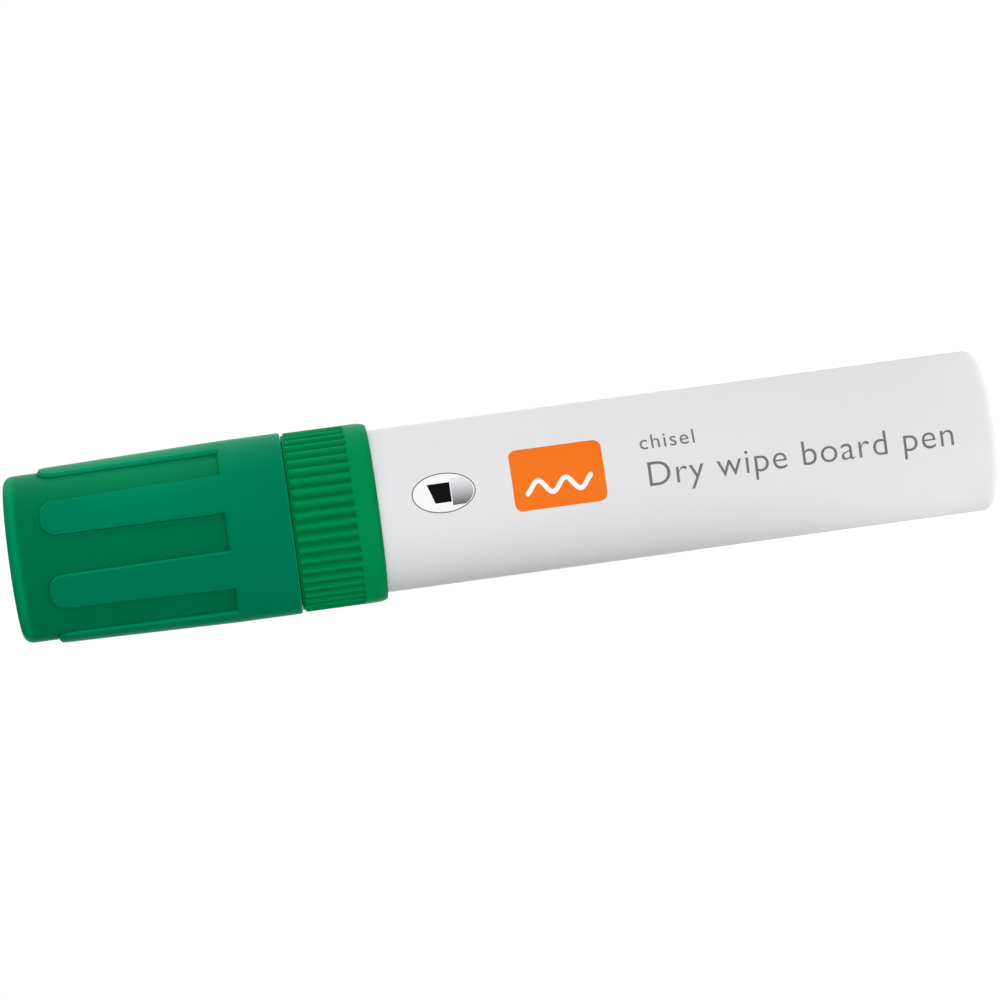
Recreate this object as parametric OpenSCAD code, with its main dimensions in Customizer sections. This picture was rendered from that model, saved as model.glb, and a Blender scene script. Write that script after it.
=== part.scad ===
// Capped dry-wipe marker with a chisel nib, standing on its flat rear end.
// The origin is the centre of the rear face. +Z runs along the marker towards the cap.
// -Y is the printed side of the barrel. All sizes are in millimetres.

/* [Barrel] */
// Outer diameter of the barrel
barrel_d = 20.8; // [20:0.1:26]
// Length of barrel that shows, from the rear face to the grip section
barrel_len = 78.7; // [60:0.1:110]
// Thickness of the barrel's wall
barrel_wall = 1.4; // [1.2:0.05:1.8]
// Thickness of the closed rear end
floor_t = 1.6; // [1.2:0.1:2.6]
// Radius of the rounded rear edge
rear_edge_r = 1.3; // [0.6:0.1:2.2]
// Radius of the moulding gate's recess in the rear face
gate_r = 2.2; // [1.2:0.1:3]
// Depth of the moulding gate's recess
gate_depth = 0.5; // [0.2:0.05:0.8]
// Length of the thinner neck inside the grip section
neck_len = 7; // [5:0.1:10]
// How much smaller the neck's radius is than the barrel's
neck_step = 0.5; // [0.3:0.05:0.6]
// Number of ribs that centre the ink store in the barrel
rib_count = 6; // [4:1:8]
// Width of one rib
rib_w = 1; // [0.8:0.1:1.6]
// Height of one rib above the bore
rib_h = 0.85; // [0.5:0.05:1.2]
// Height of the feet that the ink store stands on
foot_h = 2; // [1:0.1:4]

/* [Grip section] */
// How far the collar stands proud of the barrel
collar_step = 1.07; // [0.9:0.01:1.6]
// Length of the smooth rim beside the barrel
rim_len = 2.8; // [2:0.1:6]
// Length of the knurled ring
knurl_len = 7.8; // [5:0.1:12]
// Number of ribs round the knurled ring
knurl_count = 48; // [36:1:60]
// Depth of the grooves between the ribs
knurl_depth = 0.4; // [0.2:0.02:0.5]
// Width of one groove at its mouth
knurl_groove_w = 1.15; // [0.8:0.05:1.2]
// Radius of the rim's rounded edge
rim_edge_r = 0.45; // [0.2:0.05:0.8]
// Bevel at the front edge of the knurled ring
knurl_bevel = 0.3; // [0.1:0.05:0.5]
// How much smaller than the collar the ring is that the cap's mouth comes down on
seat_step = 0.45; // [0.35:0.05:0.8]
// Length of the neck that the cap slides over
cap_neck_len = 8.2; // [7:0.1:12]
// Thickness of the section's walls
section_wall = 1.2; // [1:0.05:1.4]
// Length of the plug inside the barrel's bore
plug_len = 7.5; // [5:0.1:9]
// Height of the round bead that the cap clicks over
click_bead_h = 0.17; // [0.1:0.01:0.2]
// Length of the socket behind the front wall that steadies the nib holder
socket_len = 6; // [4:0.1:9]

/* [Nib and nib holder] */
// Width of the nib
nib_w = 10; // [8:0.1:10.2]
// Thickness of the nib
nib_t = 5; // [4:0.1:5.2]
// How far the nib stands out of the nose
nib_out = 7.5; // [5:0.1:8.5]
// How far the nib's slanted edge falls from one side to the other
nib_slant = 3.6; // [1:0.1:4]
// Thickness of the nib at its writing edge
nib_edge_t = 1.6; // [0.8:0.1:2.4]
// Length of each bevel that narrows the nib to its edge
nib_bevel_len = 5.2; // [3:0.1:6]
// Length of the thin stem in the ink store
nib_stem_len = 8; // [5:0.1:12]
// Width of the stem
nib_stem_w = 7; // [4:0.1:7.4]
// Thickness of the stem
nib_stem_t = 3; // [2:0.1:3.4]
// Length of the land that the cap's liner seals on
seal_len = 3; // [2.5:0.1:4]
// How much smaller the nose is than that land
nose_step = 0.85; // [0.5:0.05:1]
// Length of the tapered nose in front of the land
nose_len = 6; // [4:0.1:8]
// How much the nose narrows towards the nib
nose_taper = 0.9; // [0.4:0.05:1.2]
// Thickness of the nib holder's round stem outside the nib's corners
stem_wall = 0.9; // [0.7:0.05:1]
// Length of the round stem behind the section's front wall
holder_stem_len = 14; // [10:0.1:15]
// Radius of the two air grooves beside the nib
air_groove_r = 0.7; // [0.4:0.05:0.9]

/* [Ink store] */
// Gap between the ink store's front end and the section's plug
store_gap = 0.6; // [0.2:0.1:2]
// Thickness of the film sleeve
film_t = 0.12; // [0.08:0.01:0.2]
// Outer radius of the breather tube
breather_r = 0.9; // [0.7:0.05:1]
// Wall of the breather tube
breather_wall = 0.3; // [0.2:0.05:0.4]
// Distance of the breather tube from the axis
breather_offset = 6; // [5.4:0.1:6.4]
// How far the breather tube stands out of the ink store
breather_out = 2.5; // [1:0.1:4]

/* [Cap] */
// Gap that shows between the cap and the knurled ring
cap_seam = 0.35; // [0.2:0.05:0.6]
// How far the cap's band stands proud of the knurled ring
band_step = 0.13; // [0:0.01:0.4]
// Length of the plain band
band_len = 8.05; // [6:0.05:12]
// Thickness of the band's wall
band_wall = 1.4; // [1.2:0.05:1.6]
// How much the cap's body narrows from the band to its front
body_taper = 0.25; // [0:0.05:0.4]
// Depth of the recesses beside the band
recess_depth = 0.75; // [0.5:0.05:0.9]
// Number of raised fingers
finger_count = 7; // [5:1:9]
// Width of one finger where it meets the band
finger_w = 5.4; // [4:0.1:6]
// How much narrower a finger is at its tip
finger_taper = 0.7; // [0:0.1:1]
// Distance from the finger tips to the cap's front face
finger_end = 4.55; // [3:0.05:7]
// Radius of the corners at the finger tips
finger_corner_r = 1.8; // [0.8:0.1:1.9]
// Height of a finger above the body at its tip
finger_tip_h = 0.5; // [0.3:0.05:0.8]
// Radius of the cap's rounded front edge
front_edge_r = 1.2; // [0.6:0.1:1.4]
// Thickness of the body's wall at its front
body_wall = 1.2; // [1:0.05:1.3]
// Thickness of the cap's closed front
roof_t = 1.3; // [1.2:0.1:2]
// Space between the liner and the cap's closed front
roof_space = 3.35; // [1:0.05:10]
// Distance of the cap's inner step from the front of the section's neck
step_gap = 0.5; // [0.3:0.05:0.6]
// Bevel round the cap's mouth
mouth_bevel = 0.25; // [0.1:0.05:0.5]

/* [Cap liner] */
// Distance of the liner's mouth from the front of the section's neck
liner_gap = 0.7; // [0.6:0.05:1.5]
// Thickness of the liner's wall
liner_wall = 0.85; // [0.6:0.05:1.1]
// Free height between the nib and the liner's roof
nib_headroom = 5.5; // [4.6:0.1:7]
// Height of the round bead that holds the liner in the cap
liner_bead_h = 0.15; // [0.1:0.01:0.2]
// Length of that bead
liner_bead_len = 1; // [0.6:0.1:1.6]
// Radius of the boss that presses on the liner's roof
boss_r = 2.5; // [1.5:0.1:4]

/* [Clearances] */
// Gap between pieces that are pressed together and don't move
join_gap = 0.02; // [0.01:0.01:0.05]
// Radial gap between the cap and the section's neck
cap_gap = 0.08; // [0.04:0.01:0.1]
// Gap between the cap's mouth and the ring that it comes down on
seat_gap = 0.1; // [0.05:0.01:0.15]
// Radial gap between the click ring and the bead that it passes
click_gap = 0.03; // [0.02:0.01:0.05]
// Gap between the liner and the cap that turns on it
turn_gap = 0.05; // [0.03:0.01:0.1]
// Radial gap between the liner and the land that it seals on
seal_gap = 0.05; // [0.02:0.01:0.1]
// Gap round the nib in its channel
nib_gap = 0.05; // [0.02:0.01:0.1]
// Gap between the ink store's film and the barrel's ribs
store_side_gap = 0.05; // [0.02:0.01:0.2]

/* [Hidden] */
$fn = 96;
eps = 0.5;

// Barrel
barrel_r = barrel_d / 2;
bore_r = barrel_r - barrel_wall;
neck_r = barrel_r - neck_step;
mouth_z = barrel_len + neck_len;
rib_inner_r = bore_r - rib_h;
foot_inner_r = bore_r / 2;

// Grip section
collar_r = barrel_r + collar_step;
knurl_z = barrel_len + rim_len;
collar_end = knurl_z + knurl_len;
skirt_bore_r = neck_r + join_gap;
plug_r = bore_r - join_gap;
plug_z = mouth_z - plug_len;
neck_front = collar_end + cap_neck_len;
groove_half = knurl_groove_w / 2;
groove_r = (groove_half * groove_half + knurl_depth * knurl_depth) / (2 * knurl_depth);

// Ink store
store_z = floor_t + foot_h;
store_end = plug_z - store_gap;
film_r = rib_inner_r - store_side_gap;
core_r = film_r - film_t - join_gap;
breather_hole_r = breather_r + join_gap;
breather_lift = 1;

// Radii of the cap, its liner and the land inside it, from the outside inwards
band_r = collar_r + band_step;
cap_bore_r = band_r - band_wall;
cap_neck_r = cap_bore_r - cap_gap;
body_r = band_r - recess_depth;
front_r = body_r - body_taper;
liner_seat_r = front_r - body_wall;
liner_r = liner_seat_r - turn_gap;
liner_bore_r = liner_r - liner_wall;
seal_r = liner_bore_r - seal_gap;

// Nib and nib holder
nose_base_r = seal_r - nose_step;
nose_tip_r = nose_base_r - nose_taper;
nose_bevel = 0.5;
land_end = neck_front + seal_len;
nose_end = land_end + nose_len;
nib_end = nose_end + nib_out;
channel_w = nib_w + 2 * nib_gap;
channel_t = nib_t + 2 * nib_gap;
holder_stem_r = norm([channel_w, channel_t]) / 2 + stem_wall;
socket_r = holder_stem_r + join_gap;
holder_z = neck_front - holder_stem_len;
nib_block_z = holder_z + 1.5;
nib_stem_z = store_end - nib_stem_len;
nib_reach = nib_end - nib_block_z + nib_w;

// Cap liner
liner_z = neck_front + liner_gap;
liner_roof_z = nib_end + nib_headroom;
liner_end = liner_roof_z + liner_wall;
liner_bead_z = liner_z + 1;
liner_bevel = 0.3;

// Cap, from its mouth to its front
cap_z = collar_end + cap_seam;
band_end = cap_z + band_len;
cap_step_z = neck_front + step_gap;
boss_z = liner_end + turn_gap;
roof_z = liner_end + roof_space;
cap_end = roof_z + roof_t;
finger_tip_z = cap_end - finger_end;
body_slope = body_taper / (cap_end - front_edge_r - band_end);
finger_tip_r = body_r - body_slope * (finger_tip_z - band_end) + finger_tip_h;

// The click ring inside the cap passes just outside the bead on the neck
relief_r = cap_neck_r - click_bead_h;
bead_ramp = 0.3;
bead_flat = 0.8;
bead_z = collar_end + cap_neck_len / 2;
ring_r = cap_neck_r + click_gap;
ring_flat = 0.5;
ring_z = bead_z - bead_flat / 2 - 3 * bead_ramp - ring_flat;
guide_z = neck_front - 1.5;
neck_bevel = 0.4;

// A ring or disc turned from a list of [radius, z] points
module turned(points) {
  rotate_extrude()
    polygon(points);
}

// A bar of a flat outline drawn in width and z, pushed out along +X from x = start
module outward(start, depth) {
  translate([start, 0, 0])
    rotate([90, 0, 90])
      linear_extrude(depth)
        children();
}

// A block centred on the axis that stands on z = bottom
module block(w, t, bottom, top) {
  translate([-w / 2, -t / 2, bottom])
    cube([w, t, top - bottom]);
}

module barrel_outside() {
  rotate_extrude() {
    square([barrel_r - rear_edge_r, barrel_len]);
    translate([0, rear_edge_r])
      square([barrel_r, barrel_len - rear_edge_r]);
    translate([barrel_r - rear_edge_r, rear_edge_r])
      circle(rear_edge_r);
  }
  cylinder(h = mouth_z, r = neck_r);
}

// Ribs along the bore, each with a longer foot on the floor
module barrel_ribs() {
  for (i = [0 : rib_count - 1])
    rotate([0, 0, 360 * (i + 0.5) / rib_count]) {
      translate([rib_inner_r, -rib_w / 2, floor_t - eps])
        cube([rib_h + eps, rib_w, store_end - floor_t + eps]);
      translate([foot_inner_r, -rib_w / 2, floor_t - eps])
        cube([bore_r - foot_inner_r + eps, rib_w, foot_h + eps]);
    }
}

module barrel() {
  color("whitesmoke") {
    difference() {
      barrel_outside();
      translate([0, 0, floor_t])
        cylinder(h = mouth_z, r = bore_r);
      turned([
        [0, -eps],
        [gate_r + eps, -eps],
        [gate_r, 0],
        [gate_r - gate_depth, gate_depth],
        [0, gate_depth]
      ]);
    }
    barrel_ribs();
  }
}

// Collar, cap neck, front wall, socket and plug as one turned shape
module section_body() {
  turned([
    [plug_r - section_wall, plug_z],
    [plug_r, plug_z],
    [plug_r, mouth_z + join_gap],
    [skirt_bore_r, mouth_z + join_gap],
    [skirt_bore_r, barrel_len],
    [collar_r - rim_edge_r, barrel_len],
    [collar_r - rim_edge_r, barrel_len + rim_edge_r],
    [collar_r, barrel_len + rim_edge_r],
    [collar_r, collar_end - knurl_bevel],
    [collar_r - knurl_bevel, collar_end],
    [collar_r - seat_step, collar_end],
    [collar_r - seat_step, cap_z - seat_gap],
    [relief_r, cap_z - seat_gap],
    [relief_r, bead_z - bead_flat / 2 - bead_ramp],
    [cap_neck_r, bead_z - bead_flat / 2],
    [cap_neck_r, bead_z + bead_flat / 2],
    [relief_r, bead_z + bead_flat / 2 + bead_ramp],
    [relief_r, guide_z - bead_ramp],
    [cap_neck_r, guide_z],
    [cap_neck_r, neck_front - neck_bevel],
    [cap_neck_r - neck_bevel, neck_front],
    [socket_r, neck_front],
    [socket_r, neck_front - socket_len],
    [socket_r + section_wall, neck_front - socket_len],
    [socket_r + section_wall, neck_front - section_wall],
    [relief_r - section_wall, neck_front - section_wall],
    [relief_r - section_wall, mouth_z + section_wall],
    [plug_r - section_wall, mouth_z + section_wall]
  ]);
}

module grip_section() {
  color("seagreen")
    difference() {
      union() {
        section_body();
        rotate_extrude()
          translate([collar_r - rim_edge_r, barrel_len + rim_edge_r])
            circle(rim_edge_r);
      }
      for (i = [0 : knurl_count - 1])
        rotate([0, 0, 360 * i / knurl_count])
          translate([collar_r - knurl_depth + groove_r, 0, knurl_z])
            cylinder(h = knurl_len + eps, r = groove_r);
    }
}

module holder_outside() {
  turned([
    [0, holder_z],
    [holder_stem_r, holder_z],
    [holder_stem_r, neck_front],
    [seal_r, neck_front],
    [seal_r, land_end],
    [nose_base_r, land_end],
    [nose_tip_r, nose_end - nose_bevel],
    [nose_tip_r - nose_bevel, nose_end],
    [0, nose_end]
  ]);
}

module nib_holder() {
  color("gainsboro")
    difference() {
      holder_outside();
      block(channel_w, channel_t, holder_z - eps, nose_end + eps);
      for (side = [-1, 1])
        translate([0, side * channel_t / 2, holder_z - eps])
          cylinder(h = nose_end - holder_z + 2 * eps, r = air_groove_r);
    }
}

// The nib's edge and its two bevels, seen on its narrow side, with the edge at z = 0
module nib_bevel_outline() {
  polygon([
    [-nib_t / 2, -nib_reach],
    [nib_t / 2, -nib_reach],
    [nib_t / 2, -nib_bevel_len],
    [nib_edge_t / 2, 0],
    [-nib_edge_t / 2, 0],
    [-nib_t / 2, -nib_bevel_len]
  ]);
}

// The bevels follow the slanted edge, so it is equally thick from side to side
module chisel_nib() {
  slant_angle = atan(nib_slant / nib_w);
  color("darkslategray") {
    intersection() {
      block(nib_w, nib_t, nib_block_z, nib_end + eps);
      translate([nib_w / 2, 0, nib_end])
        rotate([0, -slant_angle, 0])
          outward(-nib_reach, 2 * nib_reach)
            nib_bevel_outline();
    }
    block(nib_stem_w, nib_stem_t, nib_stem_z, nib_block_z + eps);
  }
}

module ink_reservoir() {
  color("mediumseagreen")
    difference() {
      translate([0, 0, store_z])
        cylinder(h = store_end - store_z, r = core_r);
      block(nib_stem_w + 2 * join_gap, nib_stem_t + 2 * join_gap, nib_stem_z - join_gap, store_end + eps);
      translate([0, breather_offset, store_z - eps])
        cylinder(h = store_end - store_z + 2 * eps, r = breather_hole_r);
    }
}

module reservoir_film() {
  color("lightcyan")
    translate([0, 0, store_z])
      difference() {
        cylinder(h = store_end - store_z, r = film_r);
        translate([0, 0, -eps])
          cylinder(h = store_end - store_z + 2 * eps, r = film_r - film_t);
      }
}

module breather_tube() {
  color("ivory")
    translate([0, breather_offset, store_z + breather_lift])
      difference() {
        cylinder(h = store_end + breather_out - store_z - breather_lift, r = breather_r);
        translate([0, 0, -eps])
          cylinder(h = store_end + breather_out - store_z, r = breather_r - breather_wall);
      }
}

// Band, tapered body and rounded front edge of the cap, still solid inside
module cap_body() {
  turned([
    [0, cap_z],
    [band_r - mouth_bevel, cap_z],
    [band_r, cap_z + mouth_bevel],
    [band_r, band_end],
    [body_r, band_end],
    [front_r, cap_end - front_edge_r],
    [front_r - front_edge_r, cap_end - front_edge_r],
    [front_r - front_edge_r, cap_end],
    [0, cap_end]
  ]);
  rotate_extrude()
    translate([front_r - front_edge_r, cap_end - front_edge_r])
      circle(front_edge_r);
}

// One finger's outline: widest where it meets the band, rounded at its tip
module finger_outline() {
  half = (finger_w - finger_taper) / 2;
  round_x = half - finger_corner_r;
  round_z = finger_tip_z - finger_corner_r;
  polygon([
    [-finger_w / 2, band_end],
    [finger_w / 2, band_end],
    [half, round_z],
    [round_x, finger_tip_z],
    [-round_x, finger_tip_z],
    [-half, round_z]
  ]);
  for (side = [-1, 1])
    translate([side * round_x, round_z])
      circle(finger_corner_r);
}

module cap_fingers() {
  for (i = [0 : finger_count - 1])
    rotate([0, 0, 360 * i / finger_count])
      intersection() {
        turned([[0, band_end], [band_r, band_end], [finger_tip_r, finger_tip_z], [0, finger_tip_z]]);
        outward(liner_seat_r + liner_bead_h + turn_gap, recess_depth + band_r - liner_seat_r)
          finger_outline();
      }
}

// Everything that is hollow inside the cap, with the click ring and the liner's groove
module cap_hollow() {
  groove_r = liner_seat_r + liner_bead_h;
  groove_end = liner_bead_z + liner_bead_len + turn_gap;
  turned([
    [0, cap_z - eps],
    [cap_bore_r + mouth_bevel + eps, cap_z - eps],
    [cap_bore_r, cap_z + mouth_bevel],
    [cap_bore_r, ring_z],
    [ring_r, ring_z + bead_ramp],
    [ring_r, ring_z + bead_ramp + ring_flat],
    [cap_bore_r, ring_z + 2 * bead_ramp + ring_flat],
    [cap_bore_r, cap_step_z],
    [liner_seat_r, cap_step_z],
    [liner_seat_r, liner_bead_z - turn_gap],
    [groove_r, liner_bead_z - turn_gap],
    [groove_r, groove_end],
    [liner_seat_r, groove_end],
    [liner_seat_r, roof_z],
    [boss_r, roof_z],
    [boss_r, boss_z],
    [0, boss_z]
  ]);
}

// The first finger is turned to +Y, so that a recess faces -Y as the barrel's print does
module cap_shell() {
  color("seagreen")
    rotate([0, 0, 90])
      difference() {
        union() {
          cap_body();
          cap_fingers();
        }
        cap_hollow();
      }
}

module cap_liner() {
  color("honeydew")
    turned([
      [liner_bore_r + liner_bevel, liner_z],
      [liner_r, liner_z],
      [liner_r, liner_bead_z],
      [liner_r + liner_bead_h, liner_bead_z],
      [liner_r + liner_bead_h, liner_bead_z + liner_bead_len],
      [liner_r, liner_bead_z + liner_bead_len],
      [liner_r, liner_end - liner_bevel],
      [liner_r - liner_bevel, liner_end],
      [0, liner_end],
      [0, liner_roof_z],
      [liner_bore_r, liner_roof_z],
      [liner_bore_r, liner_z + liner_bevel]
    ]);
}

barrel();
grip_section();
nib_holder();
chisel_nib();
ink_reservoir();
reservoir_film();
breather_tube();
cap_shell();
cap_liner();
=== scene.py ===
import bmesh
import bpy
import numpy as np
from math import cos, pi, radians, sin
from mathutils import Matrix, Vector


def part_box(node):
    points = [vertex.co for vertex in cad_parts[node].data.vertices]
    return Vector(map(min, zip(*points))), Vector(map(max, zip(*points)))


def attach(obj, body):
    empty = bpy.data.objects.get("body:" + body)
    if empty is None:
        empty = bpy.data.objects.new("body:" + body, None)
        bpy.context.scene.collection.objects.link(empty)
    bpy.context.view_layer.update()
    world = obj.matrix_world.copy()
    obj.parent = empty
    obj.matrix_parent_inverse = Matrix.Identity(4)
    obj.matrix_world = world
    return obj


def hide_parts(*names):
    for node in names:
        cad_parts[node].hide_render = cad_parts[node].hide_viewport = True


# A jumbo dry-wipe marker with its cap on. Lengths are millimetres everywhere; the two
# functions that put points into meshes turn them to metres.
mm = 0.001
perMm = 1000  # a texture scale of perMm / 3 repeats every 3 mm

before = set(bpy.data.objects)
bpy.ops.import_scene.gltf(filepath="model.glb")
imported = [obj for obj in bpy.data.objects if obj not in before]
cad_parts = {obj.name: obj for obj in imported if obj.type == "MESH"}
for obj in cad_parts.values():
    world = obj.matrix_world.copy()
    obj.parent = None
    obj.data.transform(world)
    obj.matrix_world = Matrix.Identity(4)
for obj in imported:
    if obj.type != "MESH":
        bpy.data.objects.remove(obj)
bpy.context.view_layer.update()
print("frame loaded:", len(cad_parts), "nodes")


def nodeBox(node):
    low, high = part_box(node)
    return np.array(low) / mm, np.array(high) / mm


barrelHigh = nodeBox("barrel")[1]
gripLow, gripHigh = nodeBox("grip_section")
storeHigh = nodeBox("ink_reservoir")[1]
holderLow, holderHigh = nodeBox("nib_holder")
nibLow, nibHigh = nodeBox("chisel_nib")
linerLow, linerHigh = nodeBox("cap_liner")
capLow, capHigh = nodeBox("cap_shell")


# colours and nodes


def linearColour(hexColour):
    # sRGB hex to linear red, green, blue and alpha
    srgb = np.array([int(hexColour[i:i + 2], 16) for i in (1, 3, 5)]) / 255
    linear = np.where(srgb <= 0.04045, srgb / 12.92, ((srgb + 0.055) / 1.055) ** 2.4)
    return (*linear, 1.0)


def addNode(tree, kind, settings=None, links=None):
    # One shader node. A setting goes to the input of that name or number, or else to the node. A link
    # comes from the given output, or from the first output of the given node
    node = tree.nodes.new("ShaderNode" + kind)
    for name, value in (settings or {}).items():
        if isinstance(name, int) or name in node.inputs:
            node.inputs[name].default_value = value
        else:
            setattr(node, name, value)
    for name, source in (links or {}).items():
        output = source.outputs[0] if isinstance(source, bpy.types.Node) else source
        tree.links.new(output, node.inputs[name])
    return node


def newMaterial(name):
    # an empty material, its node tree and the place on the piece
    material = bpy.data.materials.new(name)
    material.use_nodes = True
    tree = material.node_tree
    tree.nodes.clear()
    return material, tree, addNode(tree, "TexCoord").outputs["Object"]


def finishSurface(tree, shader, look, links):
    # the shader with its own sockets set, and the output
    surface = addNode(tree, shader, look, links)
    addNode(tree, "OutputMaterial", {}, {"Surface": surface})


# materials

mixShare, firstColour, secondColour, mixedColour = 0, 6, 7, 2  # a Mix node's sockets for colours


def mottledColour(tree, place, size, detail, colours):
    # Two close colours that drift into each other over the given distance; also gives that pattern
    look = {"Scale": perMm / size, "Detail": detail}
    pattern = addNode(tree, "TexNoise", look, {"Vector": place})
    tone = addNode(tree, "Mix", {
        "data_type": "RGBA", firstColour: linearColour(colours[0]), secondColour: linearColour(colours[1])
    }, {mixShare: pattern})
    return tone.outputs[mixedColour], pattern


def paintShadeAndHighlightByRelief(tree, place, colour, relief):
    # Painted shade and painted highlight: the colour is darkened in hollows and in the corners at the foot
    # of a raised part, where shade falls, and lightened on its walls and upper edges, where light catches.
    # share = (radius - bottom) / depth, from 0 in a hollow to 1 on a crest; bottom and depth fall evenly
    # along the axis beyond the relief's start. The painted light tones multiply the colour
    flat = addNode(tree, "VectorMath", {"operation": "MULTIPLY", 1: (1, 1, 0)}, {0: place})
    radius = addNode(tree, "VectorMath", {"operation": "LENGTH"}, {0: flat})
    height = addNode(tree, "SeparateXYZ", {}, {"Vector": place}).outputs["Z"]
    beyond = addNode(tree, "Math", {"operation": "SUBTRACT", 1: relief["start"] * mm}, {0: height})
    travelled = addNode(tree, "Math", {"operation": "MAXIMUM", 1: 0.0}, {0: beyond})
    bottom = addNode(tree, "Math", {
        "operation": "MULTIPLY_ADD", 1: -relief["bottomFall"], 2: relief["bottom"] * mm
    }, {0: travelled})
    depth = addNode(tree, "Math", {
        "operation": "MULTIPLY_ADD", 1: -relief["depthFall"], 2: relief["depth"] * mm
    }, {0: travelled})
    above = addNode(tree, "Math", {"operation": "SUBTRACT"}, {0: radius.outputs["Value"], 1: bottom})
    share = addNode(tree, "Math", {"operation": "DIVIDE"}, {0: above, 1: depth})
    ramp = addNode(tree, "ValToRGB", {}, {"Fac": share})
    stops = ramp.color_ramp.elements
    for i, (position, tone) in enumerate(relief["paintedLightTones"]):
        stop = stops[i] if i < 2 else stops.new(position)  # a new ramp has two stops already
        stop.position = position
        stop.color = (*tone, 1)
    shaded = addNode(tree, "Mix", {
        "data_type": "RGBA", "blend_type": "MULTIPLY", mixShare: 1.0
    }, {firstColour: colour, secondColour: ramp.outputs["Color"]}).outputs[mixedColour]
    if "paintedHighlightTone" not in relief:
        return shaded
    paintedHighlight = addNode(tree, "MapRange", {  # painted highlight: the colour grows paler towards the front, over the front rounding
        "interpolation_type": "SMOOTHSTEP", "From Min": relief["paintedHighlightStart"] * mm,
        "From Max": relief["paintedHighlightEnd"] * mm, "To Min": 1.0, "To Max": relief["paintedHighlightTone"]
    }, {"Value": height})
    return addNode(tree, "VectorMath", {"operation": "SCALE"}, {0: shaded, "Scale": paintedHighlight})


plastic = {"flowStretch": 0.4, "roughnessSpread": 0.04}


def mouldedPlastic(name, look):
    # Injection-moulded polypropylene or polyethylene: an even colour with a faint cloudiness from
    # the melt's flow, a satin skin copied from the tool, and a grain too fine to see one by one
    material, tree, place = newMaterial(name)
    stretch = look.get("flowStretch", plastic["flowStretch"])
    flow = addNode(tree, "Mapping", {"Scale": (1, 1, stretch)}, {"Vector": place})
    colour = mottledColour(tree, flow, look["cloudSize"], 2.0, look["colours"])[0]
    # where a relief is given, painted shade darkens its hollows and painted highlight lightens its raised
    # parts
    if "relief" in look:
        colour = paintShadeAndHighlightByRelief(tree, place, colour, look["relief"])
    grain = addNode(tree, "TexNoise", {"Scale": perMm / look["grainSize"], "Detail": 3.0},
                    {"Vector": place})
    dull = addNode(tree, "MapRange", {
        "To Min": look["roughness"] - plastic["roughnessSpread"],
        "To Max": look["roughness"] + plastic["roughnessSpread"]
    }, {"Value": grain})
    skin = addNode(tree, "Bump", {"Strength": 1.0, "Distance": look["grainHeight"] * mm},
                   {"Height": grain})
    finishSurface(tree, "BsdfPrincipled", look["shader"], {
        "Base Color": colour, "Roughness": dull, "Normal": skin
    })
    return material


ink = {
    "mottleSize": 0.35, "filmHeight": 0.004, "filmStrength": 0.6,
    "shader": {"Roughness": 0.5, "IOR": 1.5, "Specular IOR Level": 0.06}
}


def printedInk(name, look):
    # Screen-printed ink: a thin flat film whose tone varies a little where the mesh let less through
    material, tree, place = newMaterial(name)
    colour, mottle = mottledColour(tree, place, ink["mottleSize"], 2.0, look["colours"])
    if "shadeColour" in look:  # the printed shading of a round ferrule, from light above to dark below
        across = addNode(tree, "SeparateXYZ", {}, {"Vector": place})
        fade = addNode(tree, "MapRange", {
            "From Min": look["shadeTop"] * mm, "From Max": look["shadeBottom"] * mm
        }, {"Value": across.outputs["X"]})
        shade = addNode(tree, "Mix", {
            "data_type": "RGBA", secondColour: linearColour(look["shadeColour"])
        }, {mixShare: fade, firstColour: colour})
        colour = shade.outputs[mixedColour]
    film = addNode(tree, "Bump", {
        "Strength": ink["filmStrength"], "Distance": ink["filmHeight"] * mm
    }, {"Height": mottle})
    finishSurface(tree, "BsdfPrincipled", ink["shader"],
                  {"Base Color": colour, "Normal": film})
    return material


fibre = {
    "pileHeight": 0.05,
    "shader": {"Roughness": 0.9, "Specular IOR Level": 0.2, "Sheen Weight": 0.15, "Sheen Roughness": 0.5}
}


def pressedFibre(name, look):
    # Pressed or bundled polyester fibre soaked in ink: matt, with streaks along the fibres
    # (real ones are 0.02 mm thick; they are drawn coarser here so that they show)
    material, tree, place = newMaterial(name)
    along = addNode(tree, "Mapping", {"Scale": (1, 1, look["fibreStretch"])}, {"Vector": place})
    colour, streak = mottledColour(tree, along, look["fibreWidth"], 4.0, look["colours"])
    pile = addNode(tree, "Bump", {"Strength": 1.0, "Distance": fibre["pileHeight"] * mm},
                   {"Height": streak})
    finishSurface(tree, "BsdfPrincipled", fibre["shader"],
                  {"Base Color": colour, "Normal": pile})
    return material


clear = {
    "colour": "#EFF6F3", "lineSpacing": 0.5, "lineStretch": 0.05, "lineHeight": 0.01, "lineStrength": 0.5,
    "smoothest": 0.1, "roughest": 0.25, "shader": {"IOR": 1.49, "Transmission Weight": 0.9}
}


def clearFilm(name):
    # Clear oriented polypropylene film round the fibre: see-through, with fine draw lines
    material, tree, place = newMaterial(name)
    along = addNode(tree, "Mapping", {"Scale": (1, 1, clear["lineStretch"])}, {"Vector": place})
    line = addNode(tree, "TexNoise", {"Scale": perMm / clear["lineSpacing"], "Detail": 2.0},
                   {"Vector": along})
    drawn = addNode(tree, "Bump", {
        "Strength": clear["lineStrength"], "Distance": clear["lineHeight"] * mm
    }, {"Height": line})
    dull = addNode(tree, "MapRange", {"To Min": clear["smoothest"], "To Max": clear["roughest"]},
                   {"Value": line})
    finishSurface(tree, "BsdfPrincipled", {
        **clear["shader"], "Base Color": linearColour(clear["colour"])
    }, {"Roughness": dull, "Normal": drawn})
    return material


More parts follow.
